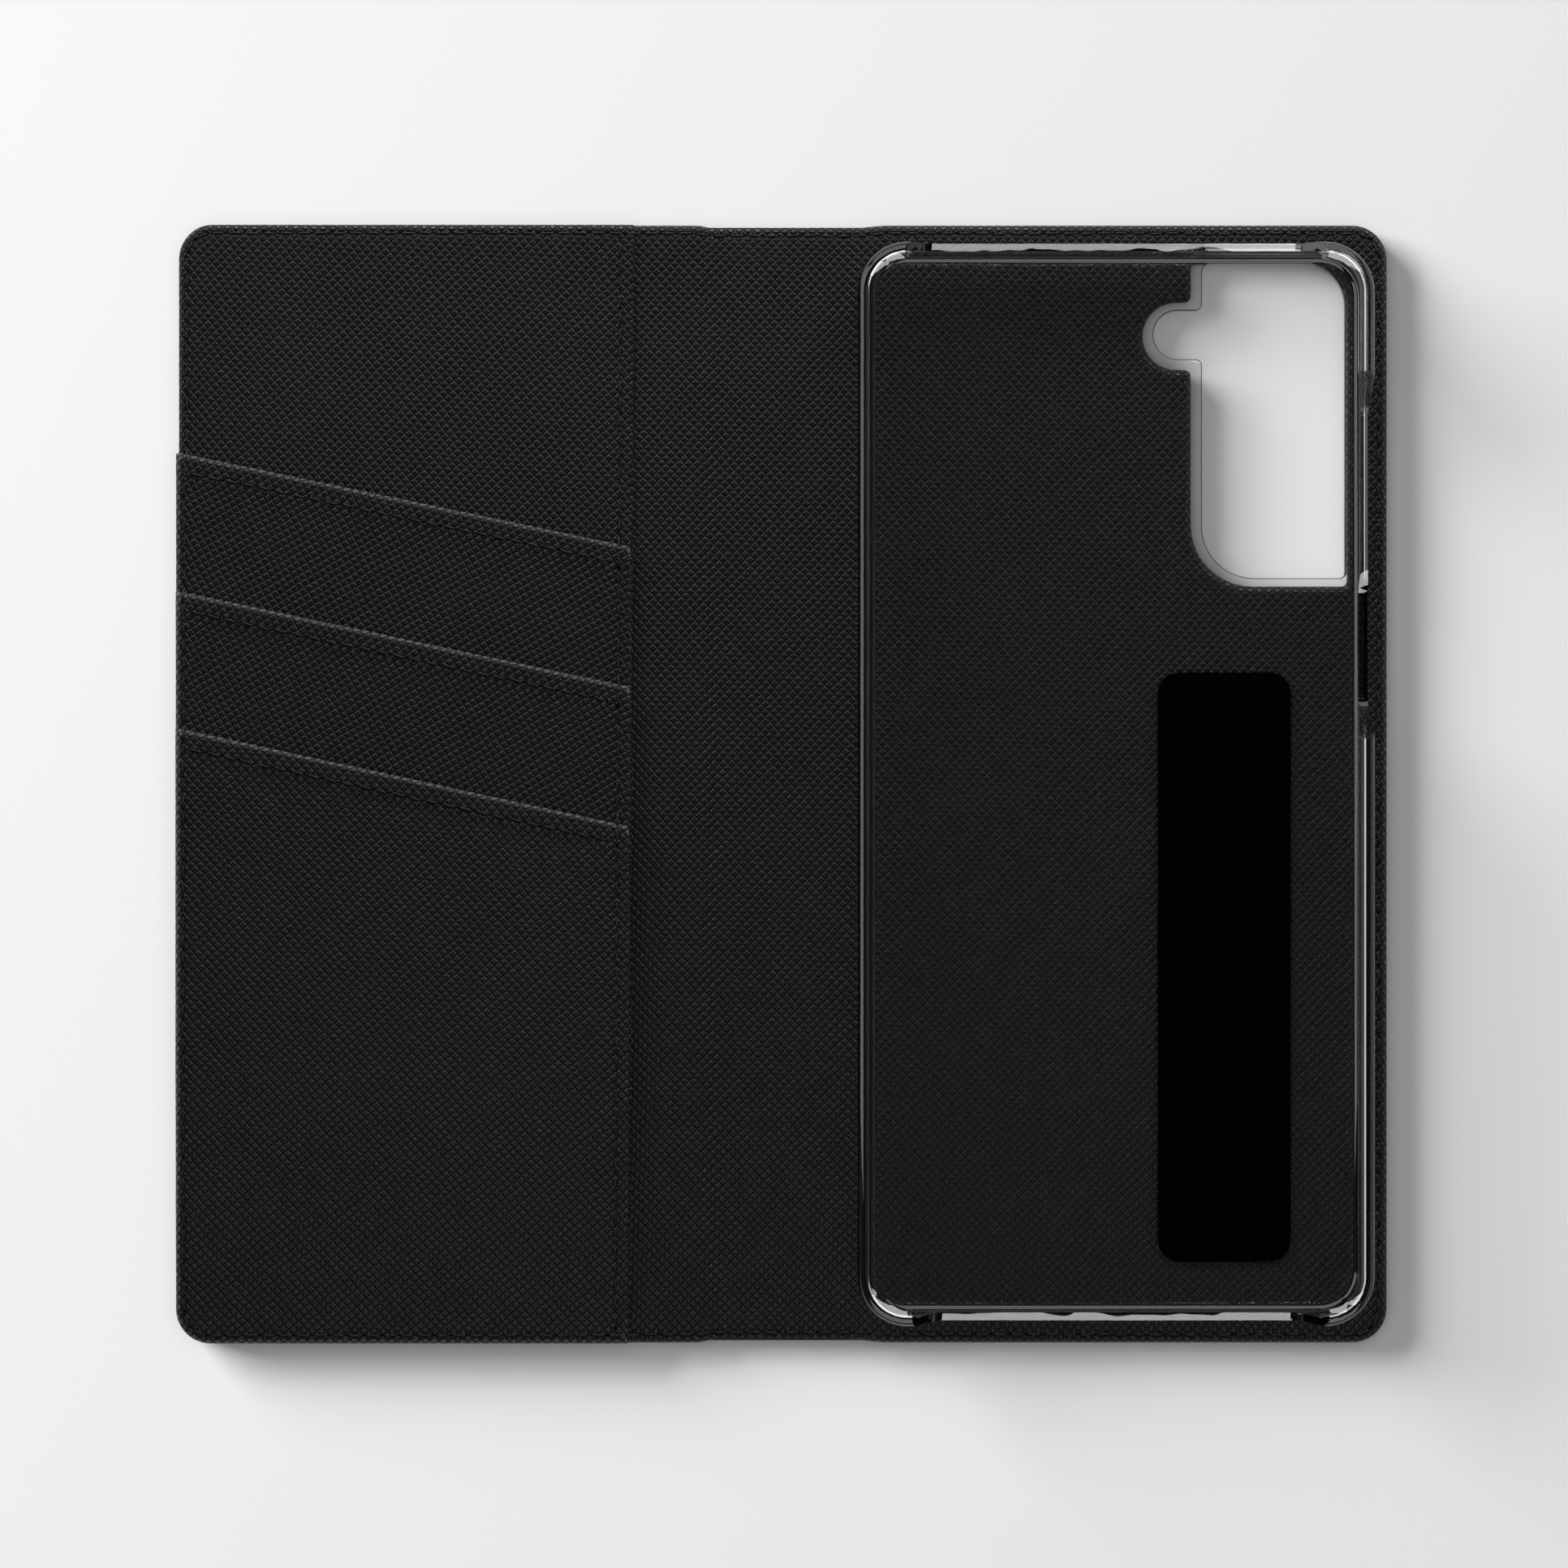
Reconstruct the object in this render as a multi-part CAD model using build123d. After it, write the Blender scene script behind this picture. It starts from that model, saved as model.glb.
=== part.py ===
from build123d import *
import os

# Open book-style phone wallet case, lying flat with its inside face up.
# Millimetres. +X runs from the front cover to the back cover, +Y to the top of the phone,
# +Z away from the table. The origin is the middle of the footprint, on the table.

# Cover outline and layers
HALF_X = 87.6
HALF_Y = 80.9
CORNER_R = 5.0
SKIN_T = 0.6
BOARD_T = 1.2
LINING_T = 0.6
COVER_T = SKIN_T + BOARD_T + LINING_T
EDGE_RIM = 0.5
RIM_SPLIT_Z = COVER_T / 2

# Folds and spine
FOLD_X = 7.7
FOLD_HALF = 1.5
BOARD_END_X = 11.3
STIFFENER_T = 0.8
STIFFENER_HALF_X = 5.4
STIFFENER_HALF_Y = 79.6
SPINE_LINING_Z = SKIN_T + STIFFENER_T
STRIP_LIFT = 0.02

# Pockets on the front cover
PANEL_T = 0.5
HEM_EXTRA = 0.4
HEM_W = 3.8
HEM_STITCH = 2.6
PANEL_EDGE_TOP_X = -21.3
PANEL_EDGE_LOW_X = -22.1
PANEL_SEAM = 2.0
POCKET_LEFT_X = -87.4
POCKET_RIGHT_X = -22.0
POCKET_EDGES = [(47.9, 34.3), (27.9, 14.05), (8.1, -6.1)]
POCKET_FLOORS = [-42.0, -62.0]
DRAPE = 5.0

# Thread
THREAD_W = 0.5
THREAD_GAP = 0.4
THREAD_T = 0.15
SEAM_INSET = 1.3
GROOVE_T = 0.2

# Phone tray
TRAY_X = 47.6
TRAY_W = 73.6
TRAY_H = 154.4
TRAY_Z0 = 2.7
TRAY_TOP = 12.3
TRAY_CORNER_R = 7.1
TRAY_WALL = 1.1
TRAY_FLOOR = 1.1
BASE_ROUND = 2.0
BACK_ROUND = 1.6
RIM_ROUND = 1.4
PHONE_T = 7.9
LIP = 1.4
LIP_ROUND = 1.5
LOW_WALL_Z = 5.0
LOWEST_WALL_Z = 4.4
HEAD_WALL_Z = 9.0
CUTTER_TOP = TRAY_TOP + 2.0
NOTCH_ROUND = 2.0
SIDE_SLOPE = 6.2
END_SLOPE = 4.2
HEAD_SLOPE = 5.0
NOTCH_DEPTH = 3.0
BUTTON_CUT = (11.4, 29.2, 53.8)
PORT_CUT = (21.8, 74.5)
HEAD_CUT = (20.6, 74.2)
MIC_HOLES_X = (53.9, 58.8)
MIC_HOLE_Z = 6.6
MIC_HOLE_R = 0.7

# Camera window: low x, low y, high x, high y
LEATHER_WINDOW = (59.2, 28.6, 81.8, 75.6)
TRAY_WINDOW = (60.6, 29.7, 81.2, 75.0)
# Its rounded corners: low left, top right, and where the flash bay joins
LEATHER_WINDOW_R = (8.9, 6.5, 1.0)
TRAY_WINDOW_R = (7.5, 5.9, 0.9)
TOP_LEFT_R = 1.2
LOW_RIGHT_R = 0.8
FLASH_Y = 64.8
FLASH_X = 57.1
FLASH_NECK = 2.0
LEATHER_FLASH_R = 4.87
TRAY_FLASH_R = 3.5
TRAY_FLASH_X0 = FLASH_X - TRAY_FLASH_R
WINDOW_ROUND = 0.25

# Adhesive pad under the tray
PAD_X = 63.9
PAD_Y = -26.45
PAD_W = 19.2
PAD_H = 85.1
PAD_R = 3.1

# How far a cutter runs past what it cuts
PAST = 1.0


def cover_face(inset, x0, x1):
    """Plan of the cover, stepped in by inset, between two lines across it."""
    outline = RectangleRounded(
        2 * (HALF_X - inset), 2 * (HALF_Y - inset), max(CORNER_R - inset, 0.5)
    )
    band = Pos((x0 + x1) / 2, 0, 0) * Rectangle(x1 - x0, 4 * HALF_Y)
    return outline & band


def slab(face, z0, z1):
    """A plan shape as a sheet between two heights."""
    return extrude(Pos(0, 0, z0) * face, z1 - z0, dir=(0, 0, 1))


def round_at(sketch, x, y, radius):
    """Round the one corner of a sketch nearest to a point."""
    corner = min(
        sketch.vertices(), key=lambda v: (v.X - x) ** 2 + (v.Y - y) ** 2
    )
    return fillet(corner, radius)


def window_face(box, flash_r, corner_radii):
    """Camera window: a tall opening with a round flash bay on its left side."""
    x0, y0, x1, y1 = box
    low_left_r, top_right_r, inner_r = corner_radii
    shape = Pos((x0 + x1) / 2, (y0 + y1) / 2, 0) * Rectangle(x1 - x0, y1 - y0)
    shape = round_at(shape, x0, y0, low_left_r)
    shape = round_at(shape, x1, y1, top_right_r)
    shape = round_at(shape, x0, y1, TOP_LEFT_R)
    shape = round_at(shape, x1, y0, LOW_RIGHT_R)
    neck_x1 = x0 + FLASH_NECK
    neck = Pos((FLASH_X + neck_x1) / 2, FLASH_Y, 0) * Rectangle(neck_x1 - FLASH_X, 2 * flash_r)
    shape = shape + neck + Pos(FLASH_X, FLASH_Y, 0) * Circle(flash_r)
    shape = round_at(shape, x0, FLASH_Y - flash_r, inner_r)
    return round_at(shape, x0, FLASH_Y + flash_r, inner_r)


def leather_window(grow):
    """Window in the leather layers, grown outwards by grow."""
    x0, y0, x1, y1 = LEATHER_WINDOW
    box = (x0 - grow, y0 - grow, x1 + grow, y1 + grow)
    low_left_r, top_right_r, inner_r = LEATHER_WINDOW_R
    radii = (low_left_r + grow, top_right_r + grow, inner_r)
    return window_face(box, LEATHER_FLASH_R + grow, radii)


def edge_seam(inset, width, x0, x1):
    """Plan of one run of stitching that follows the cover's edge."""
    outer = cover_face(inset - width / 2, x0, x1)
    inner = cover_face(inset + width / 2, x0 - PAST, x1 + PAST)
    return outer - inner


def skin(x0, x1, board_x0, board_x1):
    """Outer skin with a rim that turns up round the board and a groove for the thread."""
    body = slab(cover_face(0, x0, x1), 0, RIM_SPLIT_Z)
    body -= slab(cover_face(EDGE_RIM, board_x0, board_x1), SKIN_T, RIM_SPLIT_Z + PAST)
    return body - slab(edge_seam(SEAM_INSET, THREAD_W, x0 - PAST, x1 + PAST), -PAST, GROOVE_T)


def lining(x0, x1, board_x0, board_x1):
    """Inner lining with a rim that turns down round the board."""
    body = slab(cover_face(0, x0, x1), RIM_SPLIT_Z, COVER_T)
    body -= slab(
        cover_face(EDGE_RIM, board_x0, board_x1), RIM_SPLIT_Z - PAST, COVER_T - LINING_T
    )
    return body


def back_cover_skin():
    body = skin(FOLD_X + FOLD_HALF, HALF_X, FOLD_X, HALF_X)
    walls = slab(leather_window(EDGE_RIM), 0, RIM_SPLIT_Z)
    return body + walls - slab(leather_window(0), -PAST, COVER_T + PAST)


def back_cover_board():
    body = slab(cover_face(EDGE_RIM, BOARD_END_X, HALF_X), SKIN_T, SKIN_T + BOARD_T)
    return body - slab(leather_window(EDGE_RIM), 0, COVER_T)


def back_cover_lining():
    body = lining(FOLD_X + FOLD_HALF, HALF_X, FOLD_X, HALF_X)
    walls = slab(leather_window(EDGE_RIM), RIM_SPLIT_Z, COVER_T)
    return body + walls - slab(leather_window(0), -PAST, COVER_T + PAST)


def back_cover_stitching():
    x0 = FOLD_X + FOLD_HALF
    seam = edge_seam(SEAM_INSET, THREAD_W, x0, HALF_X)
    return [
        slab(seam, COVER_T, COVER_T + THREAD_T),
        slab(seam, GROOVE_T - THREAD_T, GROOVE_T),
    ]


def tray_adhesive_pad():
    pad = Pos(PAD_X, PAD_Y, 0) * RectangleRounded(PAD_W, PAD_H, PAD_R)
    return slab(pad, COVER_T, TRAY_Z0)


def rounded_block(width, height, corner_r, z0, z1, low_r, high_r):
    """A block with round corners and its low and high edges rounded."""
    plan = Pos(TRAY_X, 0, 0) * RectangleRounded(width, height, corner_r)
    body = slab(plan, z0, z1)
    body = fillet(body.faces().sort_by(Axis.Z)[-1].edges(), high_r)
    return fillet(body.faces().sort_by(Axis.Z)[0].edges(), low_r)


def notch_profile(points):
    """Side view of a stretch of wall that is cut down, with its low corners rounded."""
    profile = make_face(Polyline(*points, close=True))
    low_corners = [v for v in profile.vertices() if v.Y < CUTTER_TOP - PAST]
    return fillet(low_corners, NOTCH_ROUND)


def end_notch(x0, x1, low_z, slope, y):
    """Cutter for the top or bottom wall, with both of its ends sloping."""
    points = [(x0 - slope, CUTTER_TOP), (x0, low_z), (x1, low_z), (x1 + slope, CUTTER_TOP)]
    return Pos(0, y, 0) * extrude(Plane.XZ * notch_profile(points), NOTCH_DEPTH, both=True)


def side_notch(y0, step_y, y1, x):
    """Cutter for the button side, lower below the camera window than beside it."""
    points = [
        (y0 - SIDE_SLOPE, CUTTER_TOP),
        (y0, LOWEST_WALL_Z),
        (step_y - NOTCH_ROUND, LOWEST_WALL_Z),
        (step_y + NOTCH_ROUND, LOW_WALL_Z),
        (y1, LOW_WALL_Z),
        (y1 + SIDE_SLOPE, CUTTER_TOP),
    ]
    return Pos(x, 0, 0) * extrude(Plane.YZ * notch_profile(points), NOTCH_DEPTH, both=True)


def edges_at(body, z, x0, box):
    """Edges of a body lying at one height inside a window's box, widened to x0 on the left."""
    near = 0.01
    low = Vector(x0 - near, box[1] - near, z - near)
    high = Vector(box[2] + near, box[3] + near, z + near)

    def within(edge):
        size = edge.bounding_box()
        over_low = size.min.X > low.X and size.min.Y > low.Y and size.min.Z > low.Z
        return over_low and size.max.X < high.X and size.max.Y < high.Y and size.max.Z < high.Z

    return [edge for edge in body.edges() if within(edge)]


def phone_tray():
    shell = rounded_block(
        TRAY_W, TRAY_H, TRAY_CORNER_R, TRAY_Z0, TRAY_TOP, BASE_ROUND, RIM_ROUND
    )
    floor_z = TRAY_Z0 + TRAY_FLOOR
    inner_r = TRAY_CORNER_R - TRAY_WALL
    bay_w = TRAY_W - 2 * TRAY_WALL
    bay_h = TRAY_H - 2 * TRAY_WALL
    bay = rounded_block(
        bay_w, bay_h, inner_r, floor_z, floor_z + PHONE_T, BACK_ROUND, LIP_ROUND
    )
    mouth = Pos(TRAY_X, 0, 0) * RectangleRounded(bay_w - 2 * LIP, bay_h - 2 * LIP, inner_r - 0.5)
    shell = shell - bay - slab(mouth, floor_z + 2, TRAY_TOP + PAST)
    window = window_face(TRAY_WINDOW, TRAY_FLASH_R, TRAY_WINDOW_R)
    shell -= slab(window, TRAY_Z0 - PAST, floor_z + PAST)
    shell = fillet(edges_at(shell, floor_z, TRAY_FLASH_X0, TRAY_WINDOW), WINDOW_ROUND)
    right_x = TRAY_X + TRAY_W / 2
    shell -= side_notch(BUTTON_CUT[0], BUTTON_CUT[1], BUTTON_CUT[2], right_x)
    shell -= end_notch(PORT_CUT[0], PORT_CUT[1], LOW_WALL_Z, END_SLOPE, -TRAY_H / 2)
    shell -= end_notch(HEAD_CUT[0], HEAD_CUT[1], HEAD_WALL_Z, HEAD_SLOPE, TRAY_H / 2)
    for x in MIC_HOLES_X:
        hole = Rot(90, 0, 0) * Cylinder(MIC_HOLE_R, 2 * NOTCH_DEPTH)
        shell -= Pos(x, TRAY_H / 2, MIC_HOLE_Z) * hole
    return shell


def spine_skin():
    inner = FOLD_X - FOLD_HALF
    body = slab(cover_face(0, -inner, inner), 0, SKIN_T)
    return body - slab(edge_seam(SEAM_INSET, THREAD_W, -inner - PAST, inner + PAST), -PAST, GROOVE_T)


def spine_stiffener():
    strip = Rectangle(2 * STIFFENER_HALF_X, 2 * STIFFENER_HALF_Y)
    return slab(strip, SKIN_T, SKIN_T + STIFFENER_T)


def spine_lining():
    inner = FOLD_X - FOLD_HALF
    return slab(cover_face(0, -inner, inner), SPINE_LINING_Z, SPINE_LINING_Z + LINING_T)


def spine_stitching():
    inner = FOLD_X - FOLD_HALF
    seam = edge_seam(SEAM_INSET, THREAD_W, -inner, inner)
    top = SPINE_LINING_Z + LINING_T
    return [slab(seam, top, top + THREAD_T), slab(seam, GROOVE_T - THREAD_T, GROOVE_T)]


def fold_skin(side):
    """Bending strip of outer skin across one fold."""
    inner = FOLD_X - FOLD_HALF
    outer = FOLD_X + FOLD_HALF
    band = Pos(side * FOLD_X, 0, 0) * Rectangle(outer - inner, 2 * HALF_Y)
    return slab(band, STRIP_LIFT, SKIN_T)


def fold_lining(side):
    """Bending strip of lining across one fold, stepping down to the thinner spine."""
    inner = side * (FOLD_X - FOLD_HALF)
    outer = side * (FOLD_X + FOLD_HALF)
    low = SPINE_LINING_Z
    high = COVER_T - LINING_T
    under = [(inner, low), (outer, high)]
    over = [(outer, high + LINING_T), (inner, low + LINING_T)]
    profile = make_face(Polyline(*under, *over, close=True))
    return extrude(Plane.XZ * profile, HALF_Y, both=True)


def front_cover_skin():
    return skin(-HALF_X, -FOLD_X - FOLD_HALF, -HALF_X, -FOLD_X)


def front_cover_board():
    return slab(cover_face(EDGE_RIM, -HALF_X, -BOARD_END_X), SKIN_T, SKIN_T + BOARD_T)


def front_cover_lining():
    return lining(-HALF_X, -FOLD_X - FOLD_HALF, -HALF_X, -FOLD_X)


def panel_face():
    """Plan of the pocket panel, with its free edge towards the spine."""
    far = 2 * HALF_X
    top_edge = (PANEL_EDGE_TOP_X, HALF_Y)
    low_edge = (PANEL_EDGE_LOW_X, -HALF_Y)
    region = make_face(Polyline((-far, HALF_Y), top_edge, low_edge, (-far, -HALF_Y), close=True))
    return cover_face(0, -HALF_X, 0) & region


def pocket_edge_y(index, x):
    """Height of a card pocket's slanting mouth at x."""
    left_y, right_y = POCKET_EDGES[index]
    share = (x - POCKET_LEFT_X) / (POCKET_RIGHT_X - POCKET_LEFT_X)
    return left_y + share * (right_y - left_y)


def below_mouth(index, top, bottom):
    """Plan of the band of a pocket between two distances below its mouth."""
    x0 = -HALF_X - 2
    x1 = -15.0
    y0 = pocket_edge_y(index, x0)
    y1 = pocket_edge_y(index, x1)
    upper = [(x0, y0 - top), (x1, y1 - top)]
    lower = [(x1, y1 - bottom), (x0, y0 - bottom)]
    return make_face(Polyline(*upper, *lower, close=True))


def pocket_steps(index):
    """Lower end of a pocket and the floors below it that it drapes over."""
    end = POCKET_FLOORS[index] if index < len(POCKET_FLOORS) else -HALF_Y
    floors = POCKET_FLOORS[:index]
    return end, floors


def card_pocket(index):
    """A flat pocket sheet with a turned-over hem, draped over the ends of those under it."""
    end, floors = pocket_steps(index)
    z = COVER_T + PANEL_T * (index + 1)
    lower = [(HALF_Y, z)]
    for floor in floors:
        lower.append((floor, z))
        z -= PANEL_T
        lower.append((floor - DRAPE, z))
    lower.append((end, z))
    upper = [(y, height + PANEL_T) for y, height in reversed(lower)]
    profile = make_face(Polyline(*lower, *upper, close=True))
    body = Pos(-HALF_X, 0, 0) * extrude(Plane.YZ * profile, 2 * HALF_X, both=True)
    plan = panel_face() & below_mouth(index, 0, 3 * HALF_Y)
    body = body & slab(plan, 0, 20)
    top = COVER_T + PANEL_T * (index + 2)
    hem = panel_face() & below_mouth(index, 0, HEM_W)
    return body + slab(hem, top, top + HEM_EXTRA)


def hem_stitching(index):
    """Thread that runs along one pocket's hem."""
    top = COVER_T + PANEL_T * (index + 2) + HEM_EXTRA
    inside = cover_face(SEAM_INSET + THREAD_W, -HALF_X, PANEL_EDGE_LOW_X - PANEL_SEAM - THREAD_W)
    run = inside & below_mouth(index, HEM_STITCH - THREAD_W / 2, HEM_STITCH + THREAD_W / 2)
    return [slab(run, top, top + THREAD_T)]


def stepped_seam(face, x):
    """Thread on the stack of pockets, one piece for each height that it crosses."""
    runs = []
    upper_y = HALF_Y
    z = COVER_T + PANEL_T
    for index in range(len(POCKET_EDGES)):
        mouth_y = pocket_edge_y(index, x)
        runs.append((mouth_y + THREAD_GAP, upper_y, z))
        z += PANEL_T
        runs.append((mouth_y - HEM_W + THREAD_GAP, mouth_y - THREAD_GAP, z + HEM_EXTRA))
        upper_y = mouth_y - HEM_W - THREAD_GAP
    for floor in POCKET_FLOORS:
        runs.append((floor + THREAD_GAP, upper_y, z))
        z -= PANEL_T
        upper_y = floor - DRAPE - THREAD_GAP
    runs.append((-HALF_Y, upper_y, z))
    pieces = []
    for y0, y1, height in runs:
        band = Pos(0, (y0 + y1) / 2, 0) * Rectangle(4 * HALF_X, y1 - y0)
        pieces += slab(face & band, height, height + THREAD_T).solids()
    return pieces


def panel_edge_stitching():
    """Thread along the free edge of the pocket panel, a little way in from it."""
    inset = SEAM_INSET + 2.0
    top_x = PANEL_EDGE_TOP_X - PANEL_SEAM
    low_x = PANEL_EDGE_LOW_X - PANEL_SEAM
    half = THREAD_W / 2
    top_pair = [(top_x - half, HALF_Y), (top_x + half, HALF_Y)]
    low_pair = [(low_x + half, -HALF_Y), (low_x - half, -HALF_Y)]
    line = make_face(Polyline(*top_pair, *low_pair, close=True))
    return stepped_seam(line & cover_face(inset, -HALF_X, 0), (top_x + low_x) / 2)


def front_cover_stitching():
    """Thread round the front cover: on the pockets, on the bare lining and outside."""
    x1 = -FOLD_X - FOLD_HALF
    gap_x = PANEL_EDGE_TOP_X + THREAD_GAP
    on_pockets = edge_seam(SEAM_INSET, THREAD_W, -HALF_X, PANEL_EDGE_LOW_X - THREAD_GAP)
    on_lining = edge_seam(SEAM_INSET, THREAD_W, gap_x, x1)
    outside = edge_seam(SEAM_INSET, THREAD_W, -HALF_X, x1)
    return stepped_seam(on_pockets, -HALF_X + SEAM_INSET) + [
        slab(on_lining, COVER_T, COVER_T + THREAD_T),
        slab(outside, GROOVE_T - THREAD_T, GROOVE_T),
    ]


def cash_pocket_panel():
    return slab(panel_face(), COVER_T, COVER_T + PANEL_T)


def group(pieces):
    """Separate solids of one node."""
    solids = []
    for piece in pieces:
        solids += piece.solids()
    return Compound(children=solids)


PARTS = {
    "back_cover_skin": back_cover_skin,
    "back_cover_board": back_cover_board,
    "back_cover_lining": back_cover_lining,
    "back_cover_stitching": lambda: group(back_cover_stitching()),
    "tray_adhesive_pad": tray_adhesive_pad,
    "phone_tray": phone_tray,
    "spine_skin": spine_skin,
    "spine_stiffener": spine_stiffener,
    "spine_lining": spine_lining,
    "spine_stitching": lambda: group(spine_stitching()),
    "back_fold_skin": lambda: fold_skin(1),
    "back_fold_lining": lambda: fold_lining(1),
    "front_fold_skin": lambda: fold_skin(-1),
    "front_fold_lining": lambda: fold_lining(-1),
    "front_cover_skin": front_cover_skin,
    "front_cover_board": front_cover_board,
    "front_cover_lining": front_cover_lining,
    "front_cover_stitching": lambda: group(front_cover_stitching()),
    "cash_pocket_panel": cash_pocket_panel,
    "card_pocket_top": lambda: card_pocket(0),
    "card_pocket_middle": lambda: card_pocket(1),
    "card_pocket_bottom": lambda: card_pocket(2),
    "top_hem_stitching": lambda: group(hem_stitching(0)),
    "middle_hem_stitching": lambda: group(hem_stitching(1)),
    "bottom_hem_stitching": lambda: group(hem_stitching(2)),
    "panel_edge_stitching": lambda: group(panel_edge_stitching()),
}

os.makedirs("parts", exist_ok=True)
for name, make in PARTS.items():
    shape = make()
    export_step(shape, f"parts/{name}.step")
    print(name, len(shape.solids()), round(shape.volume, 2))
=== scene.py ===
import math
import random

import bpy
import numpy as np
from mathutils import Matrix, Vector
from mathutils.geometry import delaunay_2d_cdt


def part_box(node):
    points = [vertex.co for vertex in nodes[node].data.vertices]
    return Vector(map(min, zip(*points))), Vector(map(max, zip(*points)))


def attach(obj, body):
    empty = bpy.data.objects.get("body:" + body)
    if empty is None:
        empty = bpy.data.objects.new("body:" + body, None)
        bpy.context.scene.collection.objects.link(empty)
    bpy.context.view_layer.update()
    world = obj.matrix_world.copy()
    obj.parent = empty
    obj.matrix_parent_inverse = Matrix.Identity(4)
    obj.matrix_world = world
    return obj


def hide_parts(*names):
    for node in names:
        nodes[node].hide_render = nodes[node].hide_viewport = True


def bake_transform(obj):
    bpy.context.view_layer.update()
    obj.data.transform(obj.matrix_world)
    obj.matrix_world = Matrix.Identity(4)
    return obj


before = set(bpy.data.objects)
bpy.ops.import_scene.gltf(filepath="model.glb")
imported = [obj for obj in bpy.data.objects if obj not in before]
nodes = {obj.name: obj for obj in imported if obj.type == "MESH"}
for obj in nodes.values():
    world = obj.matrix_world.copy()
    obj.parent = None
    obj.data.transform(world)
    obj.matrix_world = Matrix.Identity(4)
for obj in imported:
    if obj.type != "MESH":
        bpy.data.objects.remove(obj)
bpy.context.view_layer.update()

# Shapes are worked out in millimetres and turned into metres when a mesh is made. Lights and
# camera are in metres.
MM = 0.001


def box_mm(node):
    """Lowest and highest corner of a CAD node, in millimetres."""
    low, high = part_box(node)
    return [v / MM for v in low], [v / MM for v in high]


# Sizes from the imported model
cover_low, cover_high = box_mm("front_cover_skin")
HALF_X = -cover_low[0]
HALF_Y = cover_high[1]
MID_Z = cover_high[2]
LINING_Z = box_mm("back_cover_lining")[1][2]
SPINE_Z = box_mm("spine_lining")[1][2]
SPINE_HALF = box_mm("spine_lining")[1][0]
FOLD_END = -box_mm("front_fold_skin")[0][0]
BOARD_END = -box_mm("front_cover_board")[1][0]
STIFFENER_HALF = box_mm("spine_stiffener")[1][0]
PANEL_EDGE_TOP = box_mm("cash_pocket_panel")[1][0]

CORNER_R = 5.0
PANEL_EDGE_LOW = PANEL_EDGE_TOP - 0.8
POCKET_T = 0.5
POCKET_EDGE_BACK = 0.3
MOUTHS = [(47.9, 34.3), (27.9, 14.05), (8.1, -6.1)]
MOUTH_X = (-87.4, -22.0)
FLOORS = [-42.0, -62.0]
HEM_W = 3.8
HEM_T = 0.4
HEM_SEAM = 2.6
HEM_ROLL = 0.8
MOUTH_LIFT = 0.15
MOUTH_REACH = 3.5
SEAM = 1.3
SEAM_REACH = 2.6
SEAM_DEPTH = 0.16
PANEL_SEAM = 2.0
RIM_ROUND = 1.25
RIM_GAP = 0.04
LEATHER_T = 0.5
WINDOW = [
    (59.2, 28.6, 8.9),
    (81.8, 28.6, 0.8),
    (81.8, 75.6, 6.5),
    (59.2, 75.6, 1.2),
    (59.2, 69.67, 1.0),
    (52.23, 69.67, 4.87),
    (52.23, 59.93, 4.87),
    (59.2, 59.93, 1.0),
]


# ---------------------------------------------------------------- plan shapes


def outline(corners, inset=0.0, step=2.0):
    """Points round a counter-clockwise polygon with rounded corners (x, y, radius), stepped in."""
    n = len(corners)
    sides = []
    for i in range(n):
        (x0, y0, _), (x1, y1, _) = corners[i], corners[(i + 1) % n]
        length = math.hypot(x1 - x0, y1 - y0)
        d = ((x1 - x0) / length, (y1 - y0) / length)
        sides.append(((x0 - d[1] * inset, y0 + d[0] * inset), d))
    loop = []
    for i in range(n):
        (p, a), (q, b) = sides[i - 1], sides[i]
        cross = a[0] * b[1] - a[1] * b[0]
        t = ((q[0] - p[0]) * b[1] - (q[1] - p[1]) * b[0]) / cross
        corner = (p[0] + a[0] * t, p[1] + a[1] * t)
        turn = math.atan2(cross, a[0] * b[0] + a[1] * b[1])
        radius = corners[i][2] - math.copysign(inset, turn)
        if corners[i][2] <= 0 or radius < 0.05:
            loop.append(corner)
            continue
        back = radius * abs(math.tan(turn / 2))
        side = math.copysign(radius, turn)
        start = (corner[0] - a[0] * back, corner[1] - a[1] * back)
        centre = (start[0] - a[1] * side, start[1] + a[0] * side)
        count = max(3, math.ceil(abs(turn) / math.radians(9)))
        for k in range(count + 1):
            angle = turn * k / count
            c, s = math.cos(angle), math.sin(angle)
            v = (start[0] - centre[0], start[1] - centre[1])
            loop.append((centre[0] + v[0] * c - v[1] * s, centre[1] + v[0] * s + v[1] * c))
    return divide(loop + loop[:1], step)[:-1]


def divide(path, step):
    """The path with points added so that none are further apart than step."""
    points = [path[0]]
    for (x0, y0), (x1, y1) in zip(path, path[1:]):
        count = max(1, math.ceil(math.hypot(x1 - x0, y1 - y0) / step))
        points += [(x0 + (x1 - x0) * k / count, y0 + (y1 - y0) * k / count) for k in range(1, count + 1)]
    return points


def inside(x, y, loop):
    """Which points lie inside a closed loop."""
    result = np.zeros(len(x), bool)
    for (x0, y0), (x1, y1) in zip(loop, loop[1:] + loop[:1]):
        if y0 == y1:
            continue
        crosses = (y0 > y) != (y1 > y)
        result ^= crosses & (x < (x1 - x0) * (y - y0) / (y1 - y0) + x0)
    return result


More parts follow.
